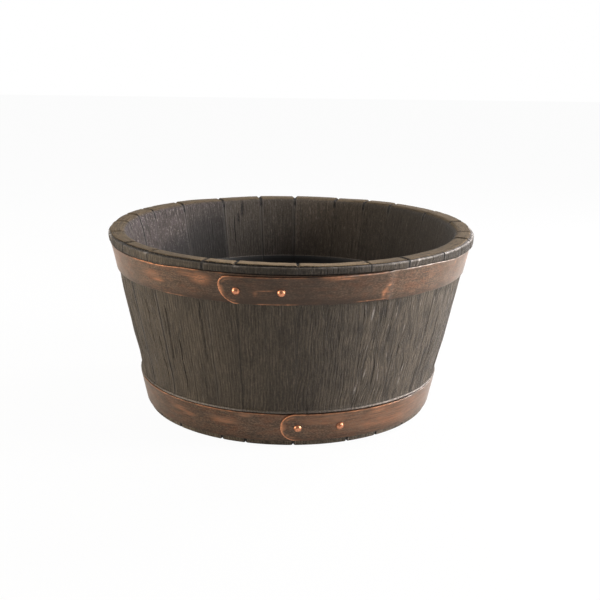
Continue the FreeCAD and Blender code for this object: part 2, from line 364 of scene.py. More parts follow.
# grain of the faces; scales are per metre across and up
staveGrain = {
    "lineSpacing": 0.0047,   # late-wood lines on the face
    "lineDepth": 0.00016,
    "lineWindow": (0.5, 0.9, 0.93, 1.0),
    "depth": 0.00046,
    "splitDepth": 0.0016,
    "splitStart": 0.36,
    "cleftDepth": 0.0012,
    "cleftDrift": 0.0022,
    "cleftEnd": 0.006,
    "swell": 0.0004,         # slow rise and fall of the worn face
    "wander": 1.1,           # the lines drift, in line spacings
    "ripple": 0.4,
    "wanderScale": (22, 4),
    "rippleScale": (90, 11),
    "waverScale": (42, 20),
    "fineScale": (400, 34),
    "finestScale": (800, 50),
    "splitScale": (260, 26),
    "swellScale": (16, 7),
    "waver": {1: 0.0045, 2: 0.0090, 3: 0.0080, 4: 0.0045},   # how far the grain winds
    "waverElse": 0.0020,
    "lean": 0.015,           # off plumb, as a slope
    "coarse": {4: 0.75, 5: 0.55, 15: 0.75, 16: 0.6, 17: 0.5, 18: 0.5, 19: 0.65},   # fewer, wider fibres
    # how far the outer face is weathered, for the staves that show it plainly
    "weathered": {1: 0.5, 2: 0.85, 3: 0.85, 4: 1.0, 5: 1.0,
                  18: 1.0, 19: 0.85, 20: 0.55, 21: 0.35, 22: 0.25, 23: 0.3},
    "weatheredElse": (0.4, 0.9),
    "weatheredInside": 0.35,
}
# joints, each named by the stave on its left
staveJoints = {
    "openOutside": {5: 0.3, 6: 0.5, 8: 0.6, 9: 0.3, 10: 0.5, 11: 0.6, 12: 0.4, 14: 0.6, 15: 0.3, 16: 0.5,
                    19: 1.0, 20: 0.5, 21: 0.15},
    "openInside": {11: 0.6, 12: 0.5, 13: 0.5, 14: 0.3, 16: 1.0},
    "openElse": (0.02, 0.12),
    "closedAtRim": {1: 0.6, 19: 0.15, 20: 0.25, 22: 0.45, 23: 0.45},   # less open on the rim band
    "rimOpens": (0.018, 0.014),    # below the rim
    "footOpens": (0.012, 0.008),
    "faceVee": 0.0014,
    "insideVee": 0.7,        # share of the outer one
    "endVee": 0.0040,
    "footVee": 0.75,
    "veeSlope": 0.85,
    "grooveFade": 0.0022,
    "bandGroove": 0.0038,
    "faceGroove": (0.0026, 0.0012),
}
# rim: uneven stave ends, a ragged step and a band that dips and bulges; degrees from the front
staveRim = {
    "topWindow": (0.0035, 0.0012),   # below the rim
    "footWindow": (0.0008, 0.004),
    "unevenTop": 0.0008,     # staves differ in height by up to this
    "topTilt": 0.012,
    "stand": 0.0003,
    "sagFront": 0.0015,
    "sagDegrees": (3, 12, 52, 70),
    "liftBehind": 0.0017,    # they stand higher left and right of the back
    "liftDegrees": ((70, 100, 144, 160), (-156, -140, -108, -92)),
    # the band's lower edge dips on the left and right: depth, degrees
    "dips": ((0.0026, (-125, -95, -42, -30)), (0.0044, (44, 62, 105, 135))),
    "dipReach": (0.006, 0.012),
    "bulgeRight": 0.0030,
    "bulgeDegrees": (50, 85),
    "bulgeReach": (0.003, 0.0045),
    "ragged": ((70, 0.3, 0.0011), (300, 0.9, 0.0006)),   # scale, layer, depth
    "bites": ((0.0008, (-50, -44, -28, -22)), (0.0026, (-68, -60, -47, -44))),
    "raggedReach": (0.012, 0.004),
    # knocked places on the rim's outer edge, the last a painted glint on the right: degrees, half width, how
    # far bared
    "chipsAndGlint": ((-77, 7, 0.9), (-46, 1.2, 0.9), (-15, 1.5, 0.7), (38.8, 2.5, 1.0)),
}
# how light the staves are: each stave's own tone, with painted light and shade by side and height
staveTonesAndLight = {
    "range": (0.93, 1.07),
    # per stave, painted light and shade on the inner faces
    "inside": {5: 0.74, 6: 0.68, 7: 0.7, 8: 0.77, 9: 1.04, 10: 1.35, 11: 1.55, 12: 1.25, 13: 1.25,
               14: 0.82, 15: 0.78},
    "insideLightElse": 0.78,
    "bleached": {14: 0.5, 15: 0.95, 16: 1.0, 17: 1.0, 18: 0.9, 19: 0.6},   # sun-bleached inner faces, with painted sheen
    # painted highlight along the inner top edge
    "bleachedRim": 0.9,
    # lower inner faces in shade: by how much, from and to in height
    "shaded": {13: ((0.15, 0.266, 0.228),), 14: ((0.3, 0.246, 0.224),), 15: ((0.3, 0.246, 0.224),)},
    # and a slanting shade across two of them
    "slantStaves": (14, 15),
    "slantShade": 0.62,
    "slantLow": 0.237,
    "slantRise": 0.042,
    "slantDegrees": (-119, -146),
    "slantSoft": (0.012, 0.026),
    # painted shade on the outer faces facing the front
    "frontPaintedShade": 0.06,
    "frontDegrees": (50, 20),
    # the foot painted lighter against its shade by the floor
    "footPaintedLight": 0.7,
    "footHeights": (0.013, 0.009),
    # the band's face painted lighter on the left
    "bandPaintedLight": 0.3,
    "bandDegrees": (-54, -42, -32, -22),
    "endTone": 0.92,
    # rim tops painted lighter towards the front: a painted highlight
    "endFrontHighlight": 0.8,
    "endDegrees": (32, 20),
}
# knots and flame figure: stave, place across and up, half width, half height, rings
knots = (
    (21, 0.010, 0.098, 0.0045, 0.011, 3.0),
    (3, -0.012, 0.172, 0.012, 0.050, 3.2),
    (2, -0.0142, 0.166, 0.007, 0.020, 2.4),
    (2, 0.0106, 0.183, 0.009, 0.030, 2.6),
    (2, -0.0114, 0.227, 0.006, 0.016, 2.0),
    (1, 0.0318, 0.166, 0.009, 0.030, 2.2),
    (7, 0.006, 0.120, 0.006, 0.016, 3.0),
    (10, -0.008, 0.200, 0.010, 0.060, 2.8),
    (13, 0.004, 0.150, 0.009, 0.045, 3.0),
    (16, -0.006, 0.110, 0.005, 0.013, 3.0),
    (18, 0.012, 0.170, 0.012, 0.070, 2.8),
)
# splits: stave, on its outer face or not, place across, from and to in height, half width
splits = (
    (13, False, 0.001, 0.264, 0.290, 0.0040),
    (13, False, 0.009, 0.252, 0.270, 0.0030),
    (13, False, 0.017, 0.215, 0.262, 0.0018),
    (14, False, -0.012, 0.222, 0.246, 0.0020),
    (18, True, 0.010, 0.110, 0.220, 0.0016),
    (19, True, 0.004, 0.080, 0.170, 0.0014),
    (20, True, 0.002, 0.130, 0.215, 0.0011),
    (20, True, 0.020, 0.080, 0.165, 0.0010),
    (21, True, 0.036, 0.135, 0.240, 0.0012),
    (21, True, -0.012, 0.075, 0.160, 0.0009),
    (21, True, -0.032, 0.120, 0.210, 0.0009),
    (4, True, -0.020, 0.100, 0.190, 0.0012),
    (8, True, 0.010, 0.090, 0.200, 0.0011),
    (12, True, -0.015, 0.120, 0.220, 0.0011),
)
# dark stains and pale scars outside: stave, place across and up, half width, half height, how strong
stains = (
    (2, 0.0010, 0.2156, 0.009, 0.012, 0.55),
    (2, -0.0097, 0.1976, 0.007, 0.010, 0.50),
    (2, -0.0134, 0.1800, 0.005, 0.009, 0.35),
    (2, 0.0140, 0.1480, 0.006, 0.016, 0.35),
    (2, 0.0010, 0.0890, 0.007, 0.014, 0.35),
    (1, 0.0480, 0.1900, 0.008, 0.012, 0.45),
)
scars = (
    (2, -0.0172, 0.2140, 0.0016, 0.010, 0.40),
    (2, -0.0277, 0.0885, 0.0012, 0.008, 0.50),
    (2, -0.0160, 0.1157, 0.0012, 0.009, 0.35),
    (3, -0.0051, 0.0893, 0.0012, 0.007, 0.35),
    (3, -0.0043, 0.1098, 0.0012, 0.008, 0.40),
)
staveNumbers = [int(node[-2:]) for node in sorted(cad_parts) if node.startswith("stave_")]


def sectionOutline(shape):
    height, wall, rim = tub["height"], tub["wall"], tub["rimRadius"]
    shoulder, step = height - tub["bandHeight"], height - shape["stepDown"]
    bandFoot, bandTop = wallRadius(shoulder) + tub["hoopProud"], rim - 0.0003
    coat, line, coatFoot = tub["coatThickness"], tub["coatLine"], tub["coatFoot"]
    low, high = shape["beadLow"], shape["beadLow"] + shape["beadHeight"]
    bevel, share = shape["bevel"], shape["bandRow"]
    return [                                    # radius, height, rounding
        (wallRadius(0) - wall + bevel, 0.0, 0),
        (wallRadius(0), 0.0, 0.002),
        (wallRadius(low), low, 0),
        (wallRadius(low) + shape["beadProud"], low + 0.0002, 0.0007),
        (wallRadius(high) + shape["beadProud"], high, 0.0012),
        (wallRadius(high + 0.002), high + 0.0016, 0.0006),
        (wallRadius(shoulder), shoulder, 0),
        (bandFoot, shoulder, 0.0008),
        (bandFoot + (bandTop - bandFoot) * share, shoulder + (step - shoulder) * share, 0),
        (bandTop, step, 0.0013),
        (rim - shape["stepIn"], step + 0.0004, 0.0003),
        (rim - shape["stepIn"] - 0.0003, height, 0.0009),
        (wallRadius(height) - wall, height, 0.008),
        (wallRadius(line + 0.002) - wall, line + 0.002, 0),
        (wallRadius(line) - wall, line + 0.0005, 0),
        (wallRadius(line) - wall - coat, line - 0.0003, 0),
        (wallRadius(coatFoot) - wall - coat, coatFoot, 0),
        (wallRadius(coatFoot - 0.002) - wall, coatFoot - 0.002, 0),
        (wallRadius(bevel) - wall, bevel, 0),
    ]


def rounded(bm, geom, offset, affect):
    bmesh.ops.bevel(bm, geom=geom, offset=offset, offset_type="OFFSET", segments=3, profile=0.5,
                    affect=affect, material=-1, clamp_overlap=True)


def staveSection(shape):
    bm = bmesh.new()
    outline = sectionOutline(shape)
    corners = [bm.verts.new((0, -radius, z)) for radius, z, rounding in outline]
    bm.faces.new(corners)
    for corner, (radius, z, rounding) in zip(corners, outline):
        if rounding:
            rounded(bm, [corner], rounding, "VERTICES")
    for edge in list(bm.edges):
        flat = abs(edge.verts[0].co.z - edge.verts[1].co.z) < shape["flatRise"]
        cuts = int(edge.calc_length() / (shape["flatRow"] if flat else shape["row"]))
        if cuts:
            bmesh.ops.subdivide_edges(bm, edges=[edge], cuts=cuts)
    return bm


def staveSpan(node):
    points = [vertex.co for vertex in node.data.vertices]
    middle = turnOf(sum((p.xy.normalized() for p in points), Vector((0, 0))))
    offsets = [halfTurns(turnOf(p) - middle) for p in points]
    return middle + min(offsets), middle + max(offsets)


def jointOpening(number, known):
    return known.get(number, random.Random(number + 400).uniform(*staveJoints["openElse"]))


def bandDip(turn):
    return sum(depth * window(degrees, degreesOf(turn)) for depth, degrees in staveRim["dips"])


# a stave's own traits; the draws keep their order
def staveTraits(number, span):
    chance = random.Random(number)
    sides = ((number - 2) % len(staveNumbers) + 1, number)
    stave = SimpleNamespace(number=number, seed=number * 3.7)
    stave.middle, stave.half = (span[0] + span[1]) / 2, (span[1] - span[0]) / 2
    stave.shift = Vector((chance.uniform(0, 3), chance.uniform(0, 3), chance.uniform(0, 9)))
    stave.lean = chance.uniform(-staveGrain["lean"], staveGrain["lean"])
    stave.tone = chance.uniform(*staveTonesAndLight["range"])
    stave.worn = staveGrain["weathered"].get(number, chance.uniform(*staveGrain["weatheredElse"]))
    stave.topDrop = chance.uniform(0, staveRim["unevenTop"])
    stave.topTilt = chance.uniform(-staveRim["topTilt"], staveRim["topTilt"])
    stave.stand = chance.uniform(-staveRim["stand"], staveRim["stand"])
    stave.openOutside = [jointOpening(side, staveJoints["openOutside"]) for side in sides]
    stave.openInside = [jointOpening(side, staveJoints["openInside"]) for side in sides]
    stave.openAtRim = [staveJoints["closedAtRim"].get(side, 1.0) for side in sides]
    stave.waver = staveGrain["waver"].get(number, staveGrain["waverElse"])
    stave.coarse = staveGrain["coarse"].get(number, 1.0)
    stave.insideTone = stave.tone * staveTonesAndLight["inside"].get(number, staveTonesAndLight["insideLightElse"])
    stave.bleached = staveTonesAndLight["bleached"].get(number, 0.0)
    for kind, rows in (("knots", knots), ("splits", splits), ("stains", stains), ("scars", scars)):
        setattr(stave, kind, [row[1:] for row in rows if row[0] == number])
    return stave


# a mesh point: z0 and radius0 stay as spun, z and radius are shaped
def spotOf(point, stave):
    spot = SimpleNamespace(z0=point.z, radius0=point.xy.length, z=point.z, radius=point.xy.length)
    height, face = tub["height"], wallRadius(spot.z)
    spot.turn = halfTurns(turnOf(point) - stave.middle)
    spot.degrees = degreesOf(stave.middle + spot.turn)
    spot.facing, spot.toRight = abs(spot.degrees), ramp(10, 45, spot.degrees)
    spot.across = spot.turn * spot.radius
    spot.joint = max(0.0, (stave.half - abs(spot.turn)) * spot.radius)
    spot.side = 0 if spot.turn < 0 else 1
    spot.outside = spot.radius > face - tub["wall"] / 2
    spot.face = face if spot.outside else face - tub["wall"]
    spot.proud = spot.radius - spot.face if spot.outside else spot.face - spot.radius
    starts, full = staveRim["topWindow"]
    spot.top = ramp(height - starts, height - full, spot.z)
    spot.foot = 1 - ramp(*staveRim["footWindow"], spot.z)
    bandLow, step = height - tub["bandHeight"], height - staveShape["stepDown"]
    spot.onBand = spot.outside and bandLow - 0.0005 < spot.z0 < step - 0.0002
    return spot


# late-wood lines wander and bend round the knots; relief of the worn grain is stronger outside
def addGrain(spot, stave, grain):
    s, across, z = stave.seed, spot.across, spot.z
    grained = across + stave.waver * faceNoise(grain["waverScale"], across, z, s, 11)
    phase = (grained + stave.lean * z) / grain["lineSpacing"]
    phase += grain["wander"] * faceNoise(grain["wanderScale"], across, z, s)
    phase += grain["ripple"] * faceNoise(grain["rippleScale"], across, z, s, 3)
    for place, up, wide, tall, rings in stave.knots:
        phase += rings * math.exp(-((across - place) / wide) ** 2 - ((z - up) / tall) ** 2)
    late = window(grain["lineWindow"], phase % 1)
    fine = faceNoise(grain["fineScale"], grained, z, s) * 0.6
    fine += faceNoise(grain["finestScale"], grained, z, s, 4) * 0.4
    splitAcross, splitUp = grain["splitScale"]
    split = grainNoise(grained * splitAcross + s, z * splitUp + s, 2.2 * s)
    split = max(0.0, split - grain["splitStart"])
    swell = faceNoise(grain["swellScale"], across, z, s, 9) * grain["swell"]
    relief = fine * grain["depth"] - late * grain["lineDepth"] - split * grain["splitDepth"]
    relief *= 0.4 + 1.2 * stave.worn
    cleft, end = 0.0, grain["cleftEnd"]
    for outer, place, low, high, wide in stave.splits:
        if outer == spot.outside:
            away = abs(across - place - grain["cleftDrift"] * grainNoise(z * 60, s, 7.7))
            within = window((low - end, low + end, high - end, high + end), z)
            cleft = max(cleft, within * ramp(wide, wide * 0.4, away))
    relief += swell + stave.stand - grain["cleftDepth"] * cleft
    if spot.outside:
        relief *= 0.25 if any(low < z < high for low, high in staveShape["underHoops"]) else 1.0
    else:
        relief *= -0.35
    spot.radius += relief * (1 - spot.top) * (1 - spot.foot)
    spot.grained, spot.phase, spot.fine, spot.swell = grained, phase, fine, swell
    spot.split, spot.cleft = split, cleft


def shapeRim(spot, stave, rim):
    height, step, s = tub["height"], staveShape["stepDown"], stave.seed
    spot.z -= spot.top * rim["sagFront"] * window(rim["sagDegrees"], spot.degrees)
    spot.lift = rim["liftBehind"] * max(window(degrees, spot.degrees) for degrees in rim["liftDegrees"])
    rise = spot.lift + spot.fine * 0.00015 - stave.topDrop + stave.topTilt * spot.across + spot.swell * 0.5
    spot.z += spot.top * rise + spot.foot * max(0.0, spot.swell)
    if spot.outside and spot.z0 > height - tub["bandHeight"] - 0.0005:
        below = height - spot.z0
        spot.z -= bandDip(stave.middle + spot.turn) * ramp(*rim["dipReach"], below)
        bulge = rim["bulgeRight"] * ramp(*rim["bulgeDegrees"], spot.degrees)
        spot.radius += bulge * ramp(*rim["bulgeReach"], below)
    inner = tub["rimRadius"] - staveShape["stepIn"]
    if spot.outside and spot.z0 > height - step + 0.0002 and spot.radius0 < inner + 0.001:
        ragged = 0.0
        for scale, layer, depth in rim["ragged"]:
            ragged += grainNoise(spot.across * scale + s, layer, s) * depth
        for depth, degrees in rim["bites"]:
            ragged -= depth * window(degrees, spot.degrees)
        spot.radius += ragged * ramp(*rim["raggedReach"], tub["rimRadius"] - spot.radius0)


# joints are eased with vees, deeper where they have been knocked
def easeJoints(spot, stave, joints):
    height, joint = tub["height"], spot.joint
    seed = stave.seed + 50 * spot.side
    opens, full = joints["rimOpens"]
    atRim = ramp(height - opens, height - full, spot.z)
    atRim *= stave.openAtRim[spot.side] if spot.outside else 1.0
    opening = (stave.openOutside if spot.outside else stave.openInside)[spot.side]
    gape = spot.gape = max(opening, atRim, ramp(*joints["footOpens"], spot.z))
    knock = (0.7 + 1.0 * max(0.0, grainNoise(spot.z * 40, seed, 1.3))) * (0.2 + 0.8 * gape)
    nick = 0.75 + 0.7 * max(0.0, grainNoise(seed, spot.radius * 50, 5.1))
    groove, proud = joints["faceVee"] * knock, max(0.0, spot.proud)
    if spot.outside:
        spot.radius = min(spot.radius, spot.face + proud - groove + joint)
    else:
        spot.radius = max(spot.radius, spot.face - proud + joints["insideVee"] * groove - joint)
    vee, slope = joints["endVee"] * nick, joint * joints["veeSlope"]
    spot.z = min(spot.z, height + spot.lift - stave.topDrop - vee + slope)
    spot.z = max(spot.z, min(joints["footVee"] * vee - slope, 0.02))
    narrow, wider = joints["faceGroove"]
    wide = joints["bandGroove"] if spot.onBand else narrow + wider * gape ** 2
    spot.groove = ramp(wide, wide - joints["grooveFade"], joint) * (0.1 + 0.9 * gape)


# dark joints, splits and stains, plus painted shade: on the band's face by angle, a painted shadow along the
# band's foot and under the bead, and on the step's riser
def grimeAndShadeOf(spot, stave):
    height, bandLow = tub["height"], tub["height"] - tub["bandHeight"]
    cleft = spot.cleft * (0.65 if spot.outside else 1.0)
    grimeAndShade = [spot.groove, cleft, 0.4 * min(1.0, spot.split * 5) * stave.worn]
    if not spot.outside:
        return max(grimeAndShade)
    # painted shade on the band's face, most at the front and on the right, and a painted shadow along its
    # foot
    if spot.onBand:
        grimeAndShade.append(0.1 + 0.5 * ramp(30, 15, spot.facing) + 0.42 * ramp(35, 50, spot.degrees))
        grimeAndShade.append(ramp(bandLow + 0.002, bandLow, spot.z0) * (0.8 - 0.6 * ramp(0, 20, spot.degrees)))
    behind = spot.radius0 < tub["rimRadius"] - staveShape["stepIn"] + 0.0007
    if behind and height - staveShape["stepDown"] < spot.z0 < height - 0.0006:     # riser of the step, in painted shade, less towards the right
        grimeAndShade.append((1 - 0.6 * spot.toRight) * max(0.7, ramp(-68, -61, spot.degrees)))
    # painted shadow in the gap under the bead
    if -0.0015 < spot.z0 - staveShape["beadLow"] < 0.0004:
        grimeAndShade.append(0.85)
    for place, up, wide, tall, amount in stave.stains:
        far = math.hypot((spot.grained - place) / wide, (spot.z - up) / tall)
        far += 0.4 * grainNoise(spot.grained * 300, spot.z * 60, stave.seed)
        grimeAndShade.append(amount * ramp(1.3, 0.3, far))
    return max(grimeAndShade)


# pale where edges are rubbed, with painted glints: the rim's outer edge (glints growing towards the right),
# the bead (a painted highlight towards the right), joints, scars and a painted highlight along the line over
# the coat
def rubbedAndLitOf(spot, stave, rim):
    edge = tub["height"] - staveShape["stepDown"] - 0.0018
    outer = tub["rimRadius"] - spot.radius0
    # the outer edge is bared a little, with painted glints growing towards the right
    baredAndLit = max(0.08, 0.25 * ramp(32, 20, spot.facing), spot.toRight)
    for turn, wide, amount in rim["chipsAndGlint"]:
        baredAndLit = max(baredAndLit, amount * ramp(wide, wide * 0.5, abs(spot.degrees - turn)))
    baredAndLit *= 0.4 + 0.6 * ramp(-0.15, 0.25, grainNoise(spot.across * 110, stave.seed, 2.6))
    ledge = baredAndLit * ramp(edge, edge + 0.0008, spot.z0) * ramp(0.0040, 0.0016, outer)
    rub = max(0.15 * ramp(0.005, 0.002, spot.joint) * (1 - spot.top) * spot.gape, ledge)
    # inside, a painted highlight along the coat's top edge
    if not spot.outside:
        return max(rub, 0.3 if -0.0001 < spot.z0 - tub["coatLine"] < 0.001 else 0.0)
    if -0.0001 < spot.z0 - staveShape["beadLow"] < staveShape["beadHeight"] + 0.0008:
        # the bead: rubbed, with a painted highlight growing towards the right
        bead = max(0.13 + 0.5 * spot.toRight, 0.32 * window((-58, -48, -18, -8), spot.degrees))
        rub = max(rub, bead * ramp(0.0012, 0.0020, spot.proud))
    for place, up, wide, tall, amount in stave.scars:
        leaning = 0.1 * (spot.z - up)
        far = math.hypot((spot.across - place - leaning) / wide, (spot.z - up) / tall)
        rub = max(rub, amount * ramp(1.3, 0.5, far))
    return min(1.0, rub)


# each stave's own tone with painted light and shade: darker facing the front, lighter at the foot and on the
# left of the band, painted shade inside per stave and in a slant, and rim tops painted lighter towards the
# front
def toneAndLightOf(spot, stave, tones):
    if spot.outside:
        level = stave.tone * (1 - tones["frontPaintedShade"] * ramp(*tones["frontDegrees"], spot.facing))
        band = tones["bandPaintedLight"] * window(tones["bandDegrees"], spot.degrees) if spot.onBand else 0.0
        level *= 1 + tones["footPaintedLight"] * ramp(*tones["footHeights"], spot.z) + band
    else:
        level = stave.insideTone
        if stave.number in tones["slantStaves"]:
            over, under = tones["slantSoft"]
            edge = tones["slantLow"] + tones["slantRise"] * ramp(*tones["slantDegrees"], spot.degrees)
            level *= 1 - tones["slantShade"] * ramp(edge + over, edge - under, spot.z)
        for amount, high, low in tones["shaded"].get(stave.number, ()):
            level *= 1 - amount * ramp(high, low, spot.z)
    end = tones["endTone"] + tones["endFrontHighlight"] * ramp(*tones["endDegrees"], spot.facing)
    return level + spot.top * (end - level)


def shapeStave(bm, stave):
    layers = bm.verts.layers
    grainPlace = layers.float_vector.new("grainPlace")
    woodMarks = layers.float_color.new("woodMarks")
    singles = ("ringPhase", "jointGrimeAndShade", "bleached", "inside", "weathered")
    ringPhase, jointGrimeAndShade, bleached, inside, weathered = [layers.float.new(kind) for kind in singles]
    rimLow, rimHigh = tub["height"] - 0.016, tub["height"] - 0.006
    for vert in bm.verts:
        spot = spotOf(vert.co, stave)
        addGrain(spot, stave, staveGrain)
        shapeRim(spot, stave, staveRim)
        easeJoints(spot, stave, staveJoints)
        coated = not spot.outside and 0.045 < spot.z0 < tub["coatLine"] + 0.0004
        sunnedAndSheen = 0.0 if spot.outside or spot.top > 0.9 else stave.bleached
        vert.co = onTub(stave.middle + spot.turn, spot.radius, spot.z)
        along = spot.grained * stave.coarse + stave.lean * spot.z
        vert[grainPlace] = Vector((along, spot.radius0 - wallRadius(spot.z0), spot.z)) + stave.shift
        vert[woodMarks] = (toneAndLightOf(spot, stave, staveTonesAndLight), spot.top, 1.0 if coated else 0.0,
                           rubbedAndLitOf(spot, stave, staveRim))
        vert[ringPhase] = spot.phase
        vert[jointGrimeAndShade] = grimeAndShadeOf(spot, stave)
        # painted sheen, growing to a painted highlight along the inner top edge
        vert[bleached] = sunnedAndSheen * (1 + staveTonesAndLight["bleachedRim"] * ramp(rimLow, rimHigh, spot.z0))
        vert[inside] = 0.0 if spot.outside else 1.0
        vert[weathered] = stave.worn if spot.outside else staveGrain["weatheredInside"]


def addPiece(bm, name, material, nodes, sharp=40):
    bmesh.ops.recalc_face_normals(bm, faces=bm.faces)
    mesh = bpy.data.meshes.new(name)
    bm.to_mesh(mesh)
    bm.free()
    mesh.shade_smooth()
    mesh.set_sharp_from_angle(angle=math.radians(sharp))
    mesh.materials.append(material)
    piece = bpy.data.objects.new(name, mesh)
    scene.collection.objects.link(piece)
    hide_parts(*nodes)
    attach(piece, "root")


def makeStave(number, shape):
    node = "stave_%02d" % number
    span = staveSpan(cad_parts[node])
    bm = staveSection(shape)
    bmesh.ops.rotate(bm, cent=(0, 0, 0), matrix=Matrix.Rotation(span[0], 3, "Z"), verts=bm.verts)
    steps = max(12, round((span[1] - span[0]) * tub["rimRadius"] / shape["column"]))
    bmesh.ops.spin(bm, geom=bm.verts[:] + bm.edges[:] + bm.faces[:], cent=(0, 0, 0), axis=(0, 0, 1),
                   angle=span[1] - span[0], steps=steps, use_merge=False)
    shapeStave(bm, staveTraits(number, span))
    addPiece(bm, "grainedStave%02d" % number, staveWood, [node])


for number in staveNumbers:
    makeStave(number, staveShape)
print(len(staveNumbers), "staves made")


# strip hoops: satin brown patina with fine specks, rubbed to copper along some edges, with painted shade,
# painted highlights and sheen, and a few patches painted lighter
hoopLooks = {
    "patina": colour(103, 84, 69),
    "dark": colour(81, 65, 52),
    "shade": colour(50, 39, 31),
    "copper": colour(226, 154, 110),
    "warm": colour(170, 98, 56),
    "glow": colour(150, 116, 90),
    "paintedHighlight": colour(226, 212, 204),
    "noises": {
        "brushed": ((22, 700, 1), 3.0, 0.6),
        "mottle": ((42, 90, 1), 4.0, 0.6, (3, 5, 0)),
        "blotch": ((34, 80, 1), 4.0, 0.65, (8, 1, 0)),
        "speck": ((290, 640, 500), 3.0, 0.7),
    },
    "layers": (
        ("brushed", 0.58, 0.70, "warm", 0.25, {}),
        ("brushed", 0.50, 0.36, "shade", 0.55, {}),
        ("speck", 0.50, 0.62, "shade", 0.6, {}),
        ("speck", 0.46, 0.36, "glow", 0.48, {}),
    ),
    "rust": 0.42,
    "rough": (0.5, 0.4),
    "bump": 0.0003,
    "shader": {
        "Metallic": 0.7, "Specular Tint": (1.0, 0.88, 0.76, 1), "Coat Weight": 0.32, "Coat Roughness": 0.32,
        "Sheen Weight": 0.10, "Sheen Roughness": 0.22,
    },
}


def makeHoopMetal(name, looks):
    material, tree, shader = newMaterial(name)
    place = addNode(tree, "Attribute", attribute_name="stripPlace").outputs["Vector"]
    packed = addNode(tree, "Attribute", attribute_name="stripMarks")
    edgeMark, rubbedAndLitMark, shadeMark = addNode(tree, "SeparateColor", {"Color": packed.outputs["Color"]}).outputs
    noises = allNoises(tree, place, looks)
    brushed, mottle, speck = noises["brushed"], noises["mottle"], noises["speck"]
    tone = mixColours(tree, spread(tree, mottle, 0.3, 0.7), looks["dark"], looks["patina"])
    rusty = times(tree, spread(tree, noises["blotch"], 0.46, 0.7), spread(tree, speck, 0.3, 0.6))
    tone = mixColours(tree, times(tree, rusty, looks["rust"]), tone, looks["warm"])
    tone = addLayers(tree, tone, looks, looks["layers"], noises)
    tone = mixColours(tree, shadeMark, tone, looks["shade"])
    patchy = spread(tree, plus(tree, times(tree, speck, 0.5), times(tree, brushed, 0.5)), 0.4, 0.6)
    # copper where rubbed, and broad patches painted lighter towards the sides
    tone = mixColours(tree, times(tree, rubbedAndLitMark, patchy), tone, looks["copper"])
    tone = mixColours(tree, times(tree, edgeMark, spread(tree, speck, 0.3, 0.5)), tone, looks["copper"])
    # painted highlight on the upper edge and painted sheen towards the sides
    tone = mixColours(tree, packed.outputs["Alpha"], tone, looks["paintedHighlight"])
    tree.links.new(tone, shader.inputs["Base Color"])
    for socket, value in looks["shader"].items():
        shader.inputs[socket].default_value = value
    tree.links.new(spread(tree, mottle, 0.3, 0.7, *looks["rough"]), shader.inputs["Roughness"])
    ridge = plus(tree, times(tree, brushed, 0.4), times(tree, speck, 0.6))
    addBump(tree, shader, ridge, looks["bump"], 0.45)
    return material


hoopMetal = makeHoopMetal("hoopMetal", hoopLooks)

stripShape = {
    "thickness": 0.0025,
    "seat": 0.0001,          # gap to the staves
    "lapGap": 0.0002,
    "joggleGap": 0.002,
    "edgeRound": 0.0008,
    "along": 0.0045,         # mesh steps along and across the strip
    "across": 0.0018,
    "wave": 0.00022,         # hammer marks and unevenness
    "endWorn": 0.95,
    "wornEdge": (0.0020, 0.0005),    # how far the marks reach in from the edge
    "glintEdge": (0.0016, 0.0005),
    "inlay": (0.0046, 0.0007),       # fine line inside the lap's round end: place and width
    "sheenRight": (42, 78, 105, 125),
    "sheenLeft": (-125, -105, -82, -55),
    "frontDegrees": (-45, -20, 18, 36),
    "lapShade": (0.020, 0.036, 0.140, 0.165),    # along the lap
    "mostShade": 0.8,
}
# worn: from and to in degrees, upper or lower edge, how far worn to copper
# glints: from and to in degrees, how strong the painted highlight on the upper edge is
# rubbed: degrees, height, half length, half height, how far rubbed to copper; a few broad patches towards the
# sides are painted light
# sheen: painted sheen on the left, and on the right at the upper and the lower edge
topHoop = {
    "node": "top_hoop", "name": "topStripHoop", "seed": 3.1,
    "low": 0.2353, "width": 0.0455, "joggle": 0.012, "crease": 0.25, "dip": 1,
    "lapWidth": 0.042, "lapLeft": 0.103, "lapLength": 0.248,
    "lapDrop": 0.004, "lapTilt": 0.0035, "lapSlant": 0.28,
    "frontShade": 0.4, "footShade": 0.5, "lapShade": 0.2, "sheen": (0.03, 0.02, 0.09),
    "worn": (
        (-52, -27, 1, 1.0), (9, 27, 1, 0.9), (20, 28, -1, 0.6), (-39, -33, -1, 0.7), (-9, 1, -1, 0.7),
        (-20, 4, 1, 0.45), (100, 140, 1, 0.8), (170, 180, 1, 0.6), (-180, -150, 1, 0.6), (-110, -90, -1, 0.6),
    ),
    "glints": ((14, 34, 0.35), (34, 100, 0.75)),
    "rubbed": (
        (-44.5, 0.262, 0.022, 0.006, 0.38), (-41.7, 0.254, 0.016, 0.004, 0.45),
        (-26, 0.268, 0.020, 0.010, 0.58), (-30, 0.272, 0.020, 0.004, 0.4),
        (-9.4, 0.252, 0.0012, 0.006, 0.5), (-6.7, 0.2572, 0.014, 0.0012, 0.5),
        (14, 0.2755, 0.030, 0.0022, 0.6), (29, 0.2595, 0.0045, 0.0012, 0.8),
        (28.2, 0.255, 0.0014, 0.005, 0.7), (27.5, 0.248, 0.0014, 0.008, 0.7),
        (28.8, 0.242, 0.003, 0.003, 0.4), (59, 0.270, 0.003, 0.004, 0.6),
        (75, 0.262, 0.030, 0.008, 0.5), (150, 0.255, 0.050, 0.008, 0.35),
        (-130, 0.262, 0.045, 0.007, 0.35), (-74, 0.258, 0.070, 0.032, 0.24),
    ),
}
